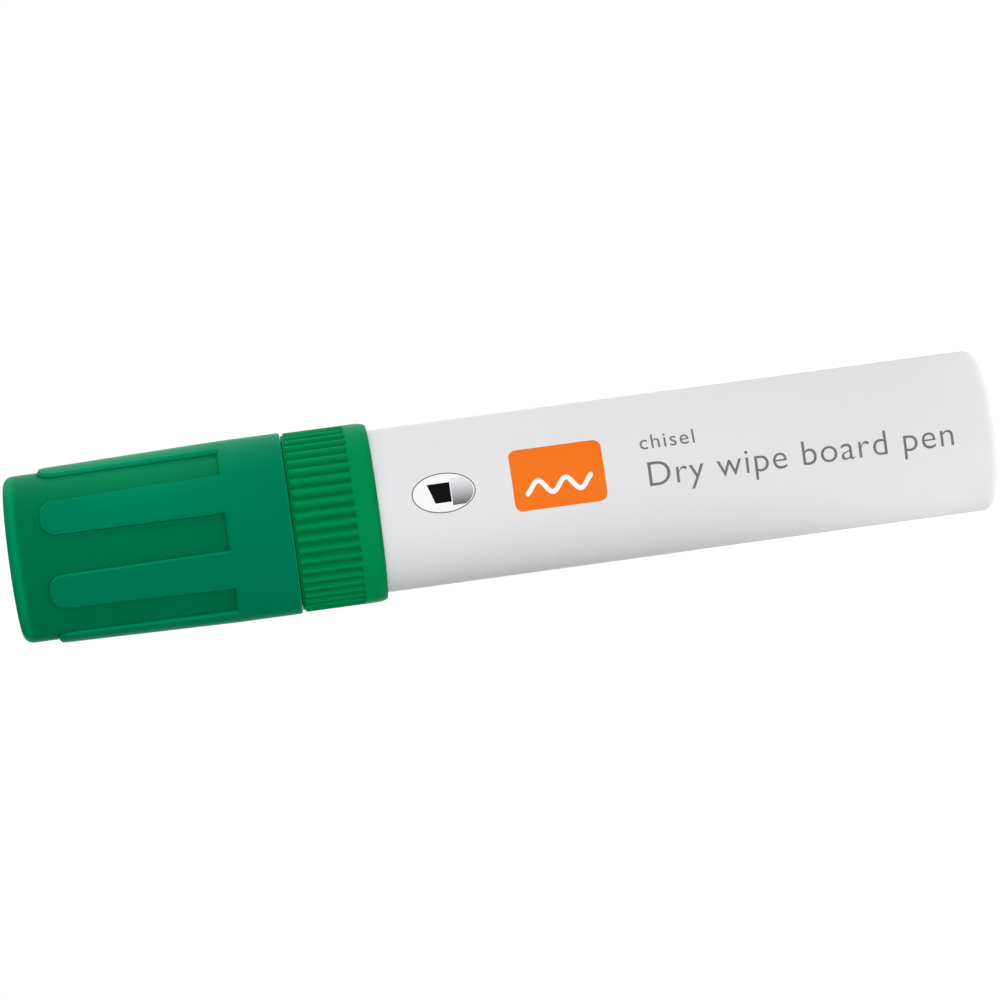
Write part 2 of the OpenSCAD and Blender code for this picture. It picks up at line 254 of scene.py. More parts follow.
greenShader = {
    "IOR": 1.49, "Specular IOR Level": 0.02, "Specular Tint": linearColour("#3CC996"),
    "Sheen Weight": 0.25, "Sheen Roughness": 0.6, "Sheen Tint": linearColour("#00E09A")
}
barrelWhite = mouldedPlastic("moulded white polypropylene", {
    "colours": ("#E7E7E8", "#E3E3E5"), "cloudSize": 9, "grainSize": 0.35,
    "grainHeight": 0.004, "roughness": 0.42, "shader": {"IOR": 1.49, "Specular IOR Level": 0.12}
})
holderGrey = mouldedPlastic("moulded light grey polypropylene", {
    "colours": ("#C9CBCD", "#C2C5C8"), "cloudSize": 5, "grainSize": 0.35,
    "grainHeight": 0.005, "roughness": 0.4, "shader": {"IOR": 1.49, "Specular IOR Level": 0.35}
})
linerNatural = mouldedPlastic("moulded natural low-density polyethylene", {
    "colours": ("#E9EAE2", "#DFE2DA"), "cloudSize": 4, "grainSize": 0.4,
    "grainHeight": 0.005, "roughness": 0.48, "shader": {
        "IOR": 1.51, "Specular IOR Level": 0.3, "Subsurface Weight": 0.35, "Subsurface Scale": 1.5 * mm
    }
})
tubeNatural = mouldedPlastic("extruded natural polyethylene", {
    "colours": ("#E6E5DA", "#DCDCCF"), "cloudSize": 3, "grainSize": 0.3,
    "grainHeight": 0.003, "roughness": 0.45, "flowStretch": 0.1,
    "shader": {"IOR": 1.51, "Specular IOR Level": 0.3}
})
nibFelt = pressedFibre("pressed polyester felt", {
    "colours": ("#06301F", "#0D5A3C"), "fibreWidth": 0.12, "fibreStretch": 0.25
})
storeFibre = pressedFibre("bundled polyester fibre", {
    "colours": ("#0B6B48", "#13936A"), "fibreWidth": 0.15, "fibreStretch": 0.03
})
storeFilm = clearFilm("clear polypropylene film")
print("materials made")


# outlines and meshes

sharp, tight, small, soft, full = 0, 0.05, 0.1, 0.2, 0.3  # roundings of the moulds' corners
verySmall = 1e-6


def roundedOutline(corners, closed=False, arcSteps=5, ease=0.12):
    # Each corner (x, y, radius) becomes an arc that touches both its sides. One more point stands a
    # short way along each side, so that smooth shading stays flat beyond the arc
    points = np.array([corner[:2] for corner in corners], float)
    radii = np.array([corner[2] for corner in corners], float)
    if not closed:
        radii[[0, -1]] = 0
    toBefore = np.roll(points, 1, axis=0) - points
    toAfter = np.roll(points, -1, axis=0) - points
    lengths = np.linalg.norm(toAfter, axis=1)
    toBefore /= np.roll(lengths, 1)[:, None]
    toAfter /= lengths[:, None]
    half = np.arccos(np.clip((toBefore * toAfter).sum(1), -1, 1)) / 2
    reach = radii / np.tan(half)
    outline = []
    for i, radius in enumerate(radii):
        if radius == 0:
            outline.append(points[i:i + 1])
            continue
        before, after = i - 1, (i + 1) % len(points)
        easeBefore = min(ease, (lengths[before] - reach[before] - reach[i]) / 3)
        easeAfter = min(ease, (lengths[i] - reach[i] - reach[after]) / 3)
        middle = toBefore[i] + toAfter[i]
        centre = points[i] + middle / np.linalg.norm(middle) * radius / sin(half[i])
        start = points[i] + toBefore[i] * reach[i] - centre
        end = points[i] + toAfter[i] * reach[i] - centre
        spread = pi - 2 * half[i]
        step = np.linspace(0, 1, arcSteps + 1)[:, None]
        arc = centre + (np.sin((1 - step) * spread) * start + np.sin(step * spread) * end) / sin(spread)
        outline += [
            (points[i] + toBefore[i] * (reach[i] + easeBefore))[None], arc,
            (points[i] + toAfter[i] * (reach[i] + easeAfter))[None]
        ]
    return np.concatenate(outline)


def evenTurns(count):
    return np.linspace(0, 2 * pi, count, endpoint=False)


def turnedGrid(radius, height, turn):
    # A point's place is (radius cos turn, radius sin turn, height); the radius may change with the turn
    radius, height = np.broadcast_arrays(radius, height)
    return np.stack([radius * np.cos(turn), radius * np.sin(turn), height + 0 * turn], axis=-1)


def gridFaces(rows, columns, firstIndex, closedRows):
    # quads between neighbouring rows and columns; the last column joins the first
    row = np.arange(rows if closedRows else rows - 1)[:, None]
    column = np.arange(columns)[None, :]
    nextRow, nextColumn = (row + 1) % rows, (column + 1) % columns
    return firstIndex + np.stack([
        row * columns + column, row * columns + nextColumn,
        nextRow * columns + nextColumn, nextRow * columns + column
    ], axis=-1).reshape(-1, 4)


def enclosedVolume(points, triangles):
    a, b, c = (points[triangles[:, i]] for i in range(3))
    return (np.cross(a, b) * c).sum() / 6


def solidFromGrid(name, grid, closedRows=False):
    # grid[row, column] holds points. Columns run round and join up. Rows either join up too, or start
    # and end in one point each, which is the mean of that row
    rows, columns = grid.shape[:2]
    if closedRows:
        points = grid.reshape(-1, 3)
        quads, triangles = gridFaces(rows, columns, 0, True), np.zeros((0, 3), int)
    else:
        body = grid[1:-1].reshape(-1, 3)
        points = np.concatenate([body, grid[:1].mean(1), grid[-1:].mean(1)])
        quads = gridFaces(rows - 2, columns, 0, False)
        here, after = np.arange(columns), (np.arange(columns) + 1) % columns
        last = (rows - 3) * columns
        triangles = np.concatenate([
            np.stack([after, here, np.full(columns, len(body))], -1),
            np.stack([last + here, last + after, np.full(columns, len(body) + 1)], -1)
        ])
    everyTriangle = np.concatenate([quads[:, :3], quads[:, [0, 2, 3]], triangles])
    if enclosedVolume(points, everyTriangle) < 0:  # faces point outwards when the volume is positive
        quads, triangles = quads[:, ::-1], triangles[:, ::-1]
    mesh = bpy.data.meshes.new(name)
    mesh.from_pydata((points * mm).tolist(), [], quads.tolist() + triangles.tolist())
    mesh.validate()
    return mesh


def addPiece(name, mesh, material, body, node=None, sharpAngle=32):
    # puts a finished mesh into the scene, riding on its CAD body
    mesh.materials.append(material)
    mesh.shade_smooth()
    mesh.set_sharp_from_angle(angle=radians(sharpAngle))
    piece = bpy.data.objects.new(name, mesh)
    bpy.context.scene.collection.objects.link(piece)
    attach(piece, body)
    if node:
        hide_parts(node)
    return piece


def smoothStep(value, start, end):
    # 0 before start, 1 after end, and an S-curve between them
    t = np.clip((value - start) / (end - start), 0, 1)
    return t * t * (3 - 2 * t)


# barrel

barrel = {
    "wall": 1.4, "floor": 1.6, "neckStep": 0.5, "neckLength": 7, "rearRounding": 1.2, "arcSteps": 8,
    "gateRadius": 2.2, "gateDepth": 0.5, "ribs": 6, "ribWidth": 1, "ribHeight": 0.85, "ribSlope": 0.03,
    "ribEndStep": 0.02, "ribEndGap": 0.3, "footHeight": 2, "columns": 192
}
barrelRadius = barrelHigh[0]
mouthHeight = barrelHigh[2]
shoulderHeight = mouthHeight - barrel["neckLength"]
boreRadius = barrelRadius - barrel["wall"]
neckRadius = barrelRadius - barrel["neckStep"]
ribEnd = storeHigh[2]


def makeBarrel():
    # The outside is an outline turned round the axis. Inside, the bore's radius drops at each rib:
    # radius = bore - depth of that row where the column lies within a rib, with steep sides
    b = barrel
    pitch = 2 * pi / b["ribs"]
    ribHalf = b["ribWidth"] / 2 / (boreRadius - b["ribHeight"] / 2)
    foot = 1 + b["ribSlope"]
    ribTurns = (np.arange(b["ribs"])[:, None] + 0.5) * pitch + np.array([-foot, -1, 1, foot]) * ribHalf
    turn = np.union1d(evenTurns(b["columns"]), ribTurns)
    fromRib = np.abs(turn % pitch - pitch / 2)
    inRib = 1 - np.clip((fromRib / ribHalf - 1) / b["ribSlope"], 0, 1)
    outside = roundedOutline([
        (0, b["gateDepth"], sharp), (b["gateRadius"] - b["gateDepth"], b["gateDepth"], small),
        (b["gateRadius"], 0, small), (barrelRadius, 0, b["rearRounding"]),
        (barrelRadius, shoulderHeight, small), (neckRadius, shoulderHeight, tight),
        (neckRadius, mouthHeight, small), (boreRadius, mouthHeight, small),
        (boreRadius, ribEnd + b["ribEndGap"], sharp)
    ], arcSteps=b["arcSteps"])
    footDepth = boreRadius / 2
    footEnd = b["floor"] + b["footHeight"]
    inside = np.array([  # height and depth of the ribs there
        (ribEnd, 0), (ribEnd - b["ribEndStep"], b["ribHeight"]),
        (footEnd + b["ribEndStep"], b["ribHeight"]),
        (footEnd, footDepth), (b["floor"], footDepth)
    ])
    radius = np.concatenate([
        outside[:, :1] + 0 * turn, boreRadius - inside[:, 1:] * inRib, np.zeros((1, len(turn)))
    ])
    height = np.concatenate([outside[:, 1], inside[:, 0], [b["floor"]]])[:, None]
    mesh = solidFromGrid("barrelMoulding", turnedGrid(radius, height, turn))
    addPiece("barrel_moulding", mesh, barrelWhite, "marker", "barrel")


makeBarrel()
print("barrel made")


# grip section; the nib's and its holder's sizes come first, because they set the socket's bore

holder = {
    "sealLength": 3, "noseStep": 0.85, "noseTaper": 0.9, "tipRounding": 0.5, "landBack": 0.15,
    "landFront": 0.25, "stemWall": 0.9, "stemLip": 0.8, "mouthLip": 0.5, "lip": 0.12, "lipEase": 0.02,
    "nibGap": 0.05, "grooveRadius": 0.7, "columns": 240
}
nib = {
    "width": 10, "thickness": 5, "slant": 3.6, "edgeThickness": 1.6, "bevelLength": 5.2, "stemWidth": 7,
    "stemThickness": 3, "stemRounding": 0.3, "blockRise": 1.5, "rounding": 0.35, "sidePoints": 14,
    "stemEnd": ((0.15, 0), (0.04, 0.04), (0, 0.15)),  # how far in each row is, and how far up
    "blockEnd": ((0.2, 0), (0.05, 0.05), (0, 0.2)),
    "blockRow": 4, "bevelEase": 0.6,  # the last two rows below the bevel are this far from it
    "bevelShares": (-0.02, 0.02, 0.1, 0.3, 0.5, 0.7, 0.9, 0.96),
    "edgeRounding": 0.3, "edgeSteps": 6, "edgeSquash": 0.8, "edgeRise": 0.5, "ridgeWidth": 0.5,
    "ridgeThickness": 0.2
}
neckFront = gripHigh[2]
channelHalfWidth = nib["width"] / 2 + holder["nibGap"]
channelHalfThickness = nib["thickness"] / 2 + holder["nibGap"]
stemRadius = np.hypot(channelHalfWidth, channelHalfThickness) + holder["stemWall"]

grip = {
    "rimLength": 2.8, "knurlLength": 7.8, "ribs": 48, "grooveDepth": 0.4, "grooveFade": 0.35,
    "rimRoundLength": 1.6, "rimRoundHeight": 0.45, "seatStep": 0.3, "seatFillet": 0.06, "seatGap": 0.1,
    "join": 0.02, "wall": 1.2, "neckGap": 0.08, "capBandStep": 0.13, "capBandWall": 1.4, "beadHeight": 0.17,
    "beadFlat": 0.8, "beadRamp": 0.3, "guideLength": 1.5, "neckRounding": 0.4, "plugRounding": 0.15,
    "socketLength": 6, "columnsPerRib": 12, "rimSteps": 10, "innerArcs": 3, "outerArcs": 4,
    "fadeRows": (-0.3, 0.4, 8), "plainRows": (1.5, 0.6, 4), "frontRow": 0.5
}
gripRadius = gripHigh[0]
knurlStart = shoulderHeight + grip["rimLength"]
collarEnd = knurlStart + grip["knurlLength"]
capNeckRadius = gripRadius + grip["capBandStep"] - grip["capBandWall"] - grip["neckGap"]
socketRadius = stemRadius + grip["join"]
# painted shade: the knurl's grooves are darkened towards their bottoms, and the crests get a faint painted
# highlight
gripGreen = mouldedPlastic("moulded leaf green polypropylene", {
    "colours": ("#02864C", "#028249"), "cloudSize": 5, "grainSize": 0.35, "grainHeight": 0.006,
    "roughness": 0.4, "shader": greenShader, "relief": {
        "start": knurlStart, "bottom": gripRadius - grip["grooveDepth"], "bottomFall": 0,
        "depth": grip["grooveDepth"], "depthFall": 0,
        "paintedLightTones": [(0, (0.6, 0.6, 0.6)), (0.6, (0.88, 0.88, 0.88)), (1, (1.02, 1.02, 1.02))]
    }
})
seatHeight = capLow[2] - grip["seatGap"]


def makeGripSection():
    # A closed outline turned round the axis. Over the knurled ring the radius is the smaller of the
    # outline's and collar - depth * (1 + cos(ribs * turn)) / 2, with the depth fading in at the rim
    g = grip
    relief = capNeckRadius - g["beadHeight"]
    plugRadius = boreRadius - g["join"]
    skirtRadius = neckRadius + g["join"]
    beadMiddle = (collarEnd + neckFront) / 2
    beadHalf = g["beadFlat"] / 2
    guide = neckFront - g["guideLength"]
    ellipse = np.linspace(0, pi / 2, g["rimSteps"])
    rim = np.stack([
        gripRadius - g["rimRoundHeight"] * (1 - np.sin(ellipse)),
        shoulderHeight + g["rimRoundLength"] * (1 - np.cos(ellipse))
    ], axis=-1)
    inner = roundedOutline([
        (plugRadius - g["wall"], gripLow[2], g["plugRounding"]), (plugRadius, gripLow[2], full),
        (plugRadius, mouthHeight + g["join"], tight), (skirtRadius, mouthHeight + g["join"], tight),
        (skirtRadius, shoulderHeight, sharp)
    ], arcSteps=g["innerArcs"])
    afterStart, beforeEnd, plainRows = g["plainRows"]
    knurlHeight = np.concatenate([
        knurlStart + np.linspace(*g["fadeRows"]),
        np.linspace(knurlStart + afterStart, collarEnd - beforeEnd, plainRows)
    ])
    knurl = np.stack([np.full(len(knurlHeight), gripRadius), knurlHeight], axis=-1)
    seatRadius = gripRadius - g["seatStep"]
    socketBottom, socketOutside = neckFront - g["socketLength"], socketRadius + g["wall"]
    neckInside, plugInside = relief - g["wall"], plugRadius - g["wall"]
    outer = roundedOutline([
        (gripRadius, collarEnd - g["frontRow"], sharp), (gripRadius, collarEnd, full),
        (seatRadius, collarEnd, tight), (seatRadius, seatHeight, g["seatFillet"]),
        (relief, seatHeight, small),
        (relief, beadMiddle - beadHalf - g["beadRamp"], soft), (capNeckRadius, beadMiddle - beadHalf, soft),
        (capNeckRadius, beadMiddle + beadHalf, soft), (relief, beadMiddle + beadHalf + g["beadRamp"], soft),
        (relief, guide - g["beadRamp"], soft), (capNeckRadius, guide, soft),
        (capNeckRadius, neckFront, g["neckRounding"]), (socketRadius, neckFront, small),
        (socketRadius, socketBottom, small), (socketOutside, socketBottom, small),
        (socketOutside, neckFront - g["wall"], soft), (neckInside, neckFront - g["wall"], soft),
        (neckInside, mouthHeight + g["wall"], soft), (plugInside, mouthHeight + g["wall"], sharp)
    ], arcSteps=g["outerArcs"])
    outline = np.concatenate([inner, rim, knurl, outer])
    turn = evenTurns(g["ribs"] * g["columnsPerRib"])
    radius, height = outline[:, :1], outline[:, 1:]
    onKnurl = (height > knurlStart) & (height <= collarEnd) & (radius > capNeckRadius + small)
    depth = g["grooveDepth"] * smoothStep(height, knurlStart, knurlStart + g["grooveFade"])
    wave = (1 + np.cos(g["ribs"] * turn)) / 2
    radius = np.where(onKnurl, np.minimum(radius, gripRadius - depth * wave), radius)
    mesh = solidFromGrid("gripMoulding", turnedGrid(radius, height, turn), closedRows=True)
    addPiece("grip_moulding", mesh, gripGreen, "marker", "grip_section", sharpAngle=40)


makeGripSection()
print("grip section made")


# nib holder and nib

def makeNibHolder():
    # Outside: an outline turned round the axis. Inside: the nib's rectangular channel with a round air
    # groove on each broad side. In the direction of turn the channel's wall is at
    # min(halfWidth / |cos|, halfThickness / |sin|), or at the groove's circle where that is farther
    h = holder
    halfWidth, halfThickness = channelHalfWidth, channelHalfThickness
    sealRadius = holderHigh[0]
    noseRadius = sealRadius - h["noseStep"]
    landEnd = neckFront + h["sealLength"]
    bottom, top = holderLow[2], holderHigh[2]
    outside = roundedOutline([
        (stemRadius - h["stemLip"], bottom, sharp), (stemRadius, bottom, soft),
        (stemRadius, neckFront, tight),
        (sealRadius, neckFront, h["landBack"]), (sealRadius, landEnd, h["landFront"]),
        (noseRadius, landEnd, soft), (noseRadius - h["noseTaper"], top, h["tipRounding"]),
        (halfWidth + h["mouthLip"], top, sharp)
    ])
    corner = np.arctan2(halfThickness, halfWidth)
    atEdges = np.array([corner, pi - corner, pi + corner, 2 * pi - corner])
    turn = np.union1d(evenTurns(h["columns"]), atEdges)
    channel = np.minimum(halfWidth / np.maximum(np.abs(np.cos(turn)), verySmall),
                         halfThickness / np.maximum(np.abs(np.sin(turn)), verySmall))
    inGroove = h["grooveRadius"] ** 2 - (halfThickness * np.cos(turn)) ** 2
    groove = halfThickness * np.abs(np.sin(turn)) + np.sqrt(np.maximum(inGroove, 0))
    channel = np.where(inGroove > 0, np.maximum(channel, groove), channel)
    lip, ease = h["lip"], h["lipEase"]
    insideHeight = np.array([top, top - lip, top - 2 * lip, bottom + 2 * lip, bottom + lip, bottom])
    insideSpread = np.array([lip, ease, 0, 0, ease, lip])
    radius = np.concatenate([outside[:, :1] + 0 * turn, channel + insideSpread[:, None]])
    height = np.concatenate([outside[:, 1], insideHeight])[:, None]
    mesh = solidFromGrid("noseMoulding", turnedGrid(radius, height, turn), closedRows=True)
    addPiece("nose_moulding", mesh, holderGrey, "marker", "nib_holder")


cornerPoints = 6


def roundedRectangle(halfWidth, halfThickness, radius, sidePoints):
    # A rectangle whose corners are quarter circles, with the same number of points at any size
    quarter = np.linspace(0, pi / 2, cornerPoints)
    corners = []
    for i, (signX, signY) in enumerate([(1, 1), (-1, 1), (-1, -1), (1, -1)]):
        angle = quarter + i * pi / 2
        corners.append(np.stack([signX * (halfWidth - radius) + radius * np.cos(angle),
                                 signY * (halfThickness - radius) + radius * np.sin(angle)], -1))
    outline = []
    for corner, after in zip(corners, corners[1:] + corners[:1]):
        step = np.linspace(0, 1, sidePoints + 2)[1:-1, None]
        outline += [corner, corner[-1] * (1 - step) + after[0] * step]
    return np.concatenate(outline)


def makeChiselNib():
    # Rounded rectangles stacked along the axis. Near the tip, a row's height follows the slanted edge:
    # height = tip - slant * (halfWidth - x) / width - drop, and its thickness follows the bevel
    n = nib
    halfWidth, halfThickness = n["width"] / 2, n["thickness"] / 2
    bottom, top = nibLow[2], nibHigh[2]
    blockStart = holderLow[2] + n["blockRise"]
    steep = np.hypot(n["width"], n["slant"]) / n["width"]
    bevelDrop = n["bevelLength"] * steep
    rows = [np.zeros((4 * (n["sidePoints"] + cornerPoints), 3)) + [0, 0, bottom]]

    def addRow(width, thickness, radius, base, drop=None):
        flat = roundedRectangle(width, thickness, radius, n["sidePoints"])
        height = np.full(len(flat), base) if drop is None else (
            top - n["slant"] * (halfWidth - flat[:, 0]) / n["width"] - drop)
        rows.append(np.column_stack([flat, height]))

    stemWidth, stemThickness = n["stemWidth"] / 2, n["stemThickness"] / 2
    for inset, rise in n["stemEnd"]:
        addRow(stemWidth - inset, stemThickness - inset, n["stemRounding"], bottom + rise)
    addRow(stemWidth, stemThickness, n["stemRounding"], blockStart - small)
    addRow(stemWidth, stemThickness, n["stemRounding"], blockStart)
    for inset, rise in n["blockEnd"]:
        addRow(halfWidth - inset, halfThickness - inset, n["rounding"], blockStart + rise)
    addRow(halfWidth, halfThickness, n["rounding"], top - n["slant"] - bevelDrop - n["blockRow"])
    addRow(halfWidth, halfThickness, n["rounding"], None, bevelDrop + n["bevelEase"])
    for share in n["bevelShares"]:
        thickness = halfThickness - max(share, 0) * (halfThickness - n["edgeThickness"] / 2)
        addRow(halfWidth, thickness, n["rounding"], None, bevelDrop * (1 - share))
    for angle in np.linspace(0, pi / 2, n["edgeSteps"] + 1)[1:]:  # the writing edge is rounded
        inset = n["edgeRounding"] * (1 - cos(angle))
        squashed = inset * n["edgeSquash"]
        addRow(halfWidth - inset, n["edgeThickness"] / 2 - squashed, n["rounding"] - squashed, None,
               n["edgeRounding"] * (1 - sin(angle)) * n["edgeRise"])
    addRow(halfWidth * n["ridgeWidth"], n["edgeThickness"] * n["ridgeThickness"], small, None, 0)
    rows.append(np.zeros_like(rows[0]) + [0, 0, top - n["slant"] / 2])
    mesh = solidFromGrid("feltNib", np.stack(rows))
    addPiece("felt_nib", mesh, nibFelt, "marker", "chisel_nib")


makeNibHolder()
makeChiselNib()
print("nib holder and nib made")


# cap liner

liner = {
    "wall": 0.85, "beadHeight": 0.15, "beadStart": 1, "beadLength": 1, "bevel": 0.3, "lipRounding": 0.12,
    "topRounding": 0.35, "innerRounding": 0.5, "columns": 144
}
linerRadius = linerHigh[0] - liner["beadHeight"]


def makeCapLiner():
    # A cup turned round the axis, open towards the nib, with a round bead that holds it in the cap
    c = liner
    bottom, top = linerLow[2], linerHigh[2]
    bore = linerRadius - c["wall"]
    bead = bottom + c["beadStart"]
    beadRadius, beadEnd = linerRadius + c["beadHeight"], bead + c["beadLength"]
    outline = roundedOutline([
        (0, top, sharp), (linerRadius, top, c["topRounding"]), (linerRadius, beadEnd, tight),
        (beadRadius, beadEnd, small), (beadRadius, bead, small), (linerRadius, bead, tight),
        (linerRadius, bottom, c["lipRounding"]), (bore + c["bevel"], bottom, c["lipRounding"]),
        (bore, bottom + c["bevel"], soft), (bore, top - c["wall"], c["innerRounding"]),
        (0, top - c["wall"], sharp)
    ])
    turn = evenTurns(c["columns"])
    mesh = solidFromGrid("linerMoulding", turnedGrid(outline[:, :1], outline[:, 1:], turn))
    addPiece("liner_moulding", mesh, linerNatural, "liner", "cap_liner")


makeCapLiner()
print("cap liner made")


# cap

cap = {
    "bandLength": 8.05, "bandWall": 1.4, "recessDepth": 0.75, "bodyTaper": 0.25, "frontRounding": 1.2,
    "frontArcs": 8, "fingers": 7, "fingerWidth": 5.4, "fingerTaper": 0.7, "fingerEnd": 4.55,
    "fingerCorner": 1.8, "fingerHeight": 0.5, "wallSlope": 0.24, "roof": 1.3, "roofRounding": 0.5,
    "linerGap": 0.05, "boss": 2.5, "stepGap": 0.5, "stepRounding": 0.15, "grooveFillet": 0.03,
    "mouthBevel": 0.12, "mouthRow": 0.9, "boreRow": 0.5,
    "ringHeight": 0.05, "ringFlat": 0.5, "ringRamp": 0.3,
    "innerArcs": 3,
    # columns from a finger's middle to its side and through its corner: from, to and how many
    "columnRuns": ((0, 0.6, 4), (0.75, 2.05, 14), (2.1, 2.95, 18)), "recessRun": (3.15, 6),
    # rows round the fingers' tips, along the fingers, round the band's edge and down the band
    "tipRun": (0.24, 2.1, 34), "fingerRun": (2.6, 0.8, 12), "edgeRun": (0.3, 11), "bandRun": (0.8, 1, 4)
}
bandRadius, capFront, capMouth = capHigh[0], capHigh[2], capLow[2]
bandEnd = capMouth + cap["bandLength"]
bodyRadius = bandRadius - cap["recessDepth"]
bodyTop = capFront - cap["frontRounding"]
bodyFall = cap["bodyTaper"] / (bodyTop - bandEnd)
fingerTip = capFront - cap["fingerEnd"]
depthFall = (cap["recessDepth"] - cap["fingerHeight"]) / (fingerTip - bandEnd)
# painted shade darkens the recesses and, most, the corners at the foot of the band and fingers; painted
# highlight lightens the fingers' walls and edges
capGreen = mouldedPlastic("moulded green polypropylene", {
    "colours": ("#007451", "#00704D"), "cloudSize": 7, "grainSize": 0.35, "grainHeight": 0.006,
    "roughness": 0.4, "shader": greenShader, "relief": {
        "start": bandEnd, "bottom": bodyRadius, "bottomFall": bodyFall,
        "depth": cap["recessDepth"], "depthFall": depthFall,
        # painted highlight on the front rounding
        "paintedHighlightStart": bodyTop - 0.6, "paintedHighlightEnd": bodyTop + 0.2, "paintedHighlightTone": 1.7,
        "paintedLightTones": [
            (0.02, (1, 0.84, 0.71)), (0.08, (1, 0.58, 0.48)), (0.28, (1, 0.62, 0.58)),
            (0.5, (1, 1.3, 1.25)), (0.9, (1, 1.35, 1.25)), (0.97, (1, 1, 1))
        ]
    }
})


def fingerOutlineDistance(across, height):
    # Signed distance, positive inside, from the outline of one finger: two straight sides that draw
    # together and a tip with rounded corners; across is measured from its middle line
    corner = cap["fingerCorner"]
    taken = np.clip((height - bandEnd) / (fingerTip - corner - bandEnd), 0, 1)
    half = (cap["fingerWidth"] - cap["fingerTaper"] * taken) / 2
    sideways = np.abs(across) - (half - corner)
    upwards = height - (fingerTip - corner)
    outsideCorner = np.hypot(np.maximum(sideways, 0), np.maximum(upwards, 0))
    return corner - outsideCorner - np.minimum(np.maximum(sideways, upwards), 0)


def makeCap():
    # The outside is radius(height, turn) = body + (top - body) * mask. The mask is 1 on the band and on
    # the fingers and 0 in the recesses, with an S-curve as wide as the moulded walls slope
    c, front, mouth = cap, capFront, capMouth
    frontRadius = bodyRadius - c["bodyTaper"]
    tipRadius = bodyRadius - bodyFall * (fingerTip - bandEnd) + c["fingerHeight"]

    # columns: close together along the sides and corners of each finger
    halfPitch = pi * tipRadius / c["fingers"]
    recessStart, recessColumns = c["recessRun"]
    side = np.concatenate([np.linspace(*run) for run in c["columnRuns"]] + [
        np.linspace(recessStart, halfPitch, recessColumns)[:-1]
    ])
    acrossFinger = np.concatenate([-side[:0:-1], side])
    middles = pi / 2 + 2 * pi * np.arange(c["fingers"])[:, None] / c["fingers"]
    turn = (middles + acrossFinger / tipRadius).ravel()
    fromMiddle = np.tile(acrossFinger / tipRadius, c["fingers"])

    # rows from the middle of the front face down the outside to the mouth
    rounding = roundedOutline([
        (0, front, sharp), (frontRadius, front, c["frontRounding"]), (bodyRadius, bandEnd, sharp)
    ], arcSteps=c["frontArcs"])[:-1]
    aboveTip, belowTip, tipRows = c["tipRun"]
    fingerStart, fingerStop, fingerRows = c["fingerRun"]
    besideEdge, edgeRows = c["edgeRun"]
    bandStart, bandStop, bandRows = c["bandRun"]
    height = np.concatenate([
        np.linspace(fingerTip + aboveTip, fingerTip - belowTip, tipRows),
        np.linspace(fingerTip - fingerStart, bandEnd + fingerStop, fingerRows),
        np.linspace(bandEnd + besideEdge, bandEnd - besideEdge, edgeRows),
        np.linspace(bandEnd - bandStart, mouth + bandStop, bandRows)
    ])[:, None]
    body = np.interp(height, [bandEnd, bodyTop], [bodyRadius, frontRadius])
    crest = np.interp(height, [bandEnd, fingerTip], [bandRadius, tipRadius])
    distance = fingerOutlineDistance(fromMiddle * crest, height)
    slope = c["wallSlope"]
    onFinger = smoothStep(distance, -slope, slope)
    onBand = smoothStep(bandEnd - height, -slope, slope)
    mask = np.maximum(onFinger, onBand)
    outsideRadius = body + (crest - body) * mask

    # rows from the mouth up the inside: click ring, step, the liner's seat and groove, roof and boss
    bore = bandRadius - c["bandWall"]
    seat = linerRadius + c["linerGap"]
    groove = seat + liner["beadHeight"]
    grooveStart = linerLow[2] + liner["beadStart"] - c["linerGap"]
    grooveEnd = linerLow[2] + liner["beadStart"] + liner["beadLength"] + c["linerGap"]
    step = neckFront + c["stepGap"]
    ring = (collarEnd + neckFront) / 2 - grip["beadFlat"] / 2 - 3 * c["ringRamp"] - c["ringFlat"]
    ringRadius = bore - c["ringHeight"]
    roofHeight = front - c["roof"]
    bossHeight = linerHigh[2] + c["linerGap"]
    ringStart, ringEnd = ring + c["ringRamp"], ring + c["ringRamp"] + c["ringFlat"]
    inside = roundedOutline([
        (bandRadius, mouth + c["mouthRow"], sharp), (bandRadius, mouth, full),
        (bore + c["mouthBevel"], mouth, soft), (bore, mouth + c["boreRow"], soft), (bore, ring, full),
        (ringRadius, ringStart, full), (ringRadius, ringEnd, full), (bore, ringEnd + c["ringRamp"], full),
        (bore, step, c["stepRounding"]), (seat, step, small), (seat, grooveStart, sharp),
        (groove, grooveStart, c["grooveFillet"]), (groove, grooveEnd, c["grooveFillet"]),
        (seat, grooveEnd, sharp), (seat, roofHeight, c["roofRounding"]), (c["boss"], roofHeight, full),
        (c["boss"], bossHeight, full), (0, bossHeight, sharp)
    ], arcSteps=c["innerArcs"])
    radius = np.concatenate([rounding[:, :1] + 0 * turn, outsideRadius, inside[:, :1] + 0 * turn])
    rows = np.concatenate([rounding[:, 1:], height, inside[:, 1:]])
    mesh = solidFromGrid("capMoulding", turnedGrid(radius, rows, turn))
    addPiece("cap_moulding", mesh, capGreen, "cap", "cap_shell", sharpAngle=50)


makeCap()
print("cap made")


# prints on the barrel

prints = {
    "sink": 0.03, "film": 0.012, "overprint": 0.02, "patchSteps": 9,
    # how far each print's middle is from the rear face, and how far round from the middle of the front
    "symbolPlace": (70.4, 1.2), "badgePlace": (55.9, 1.5),
    "smallPlace": (41.65, 4.2), "largePlace": (25.2, -0.5)
}
orangeInk, greyInk, darkInk, blackInk, whiteInk = (
    printedInk(f"screen-printed {shade} ink", {"colours": colours}) for shade, colours in (
        ("orange", ("#F5731A", "#F77A22")), ("grey", ("#707173", "#78797B")),
        ("dark grey", ("#5E5F61", "#68696B")), ("black", ("#020203", "#060607")),
        ("white", ("#F8F8F8", "#F5F5F5"))
    )
)
silverInk = printedInk("screen-printed silver ink", {
    "colours": ("#E9EAEC", "#DCDEE0"), "shadeColour": "#5E6064", "shadeTop": 2.4, "shadeBottom": -0.5
})


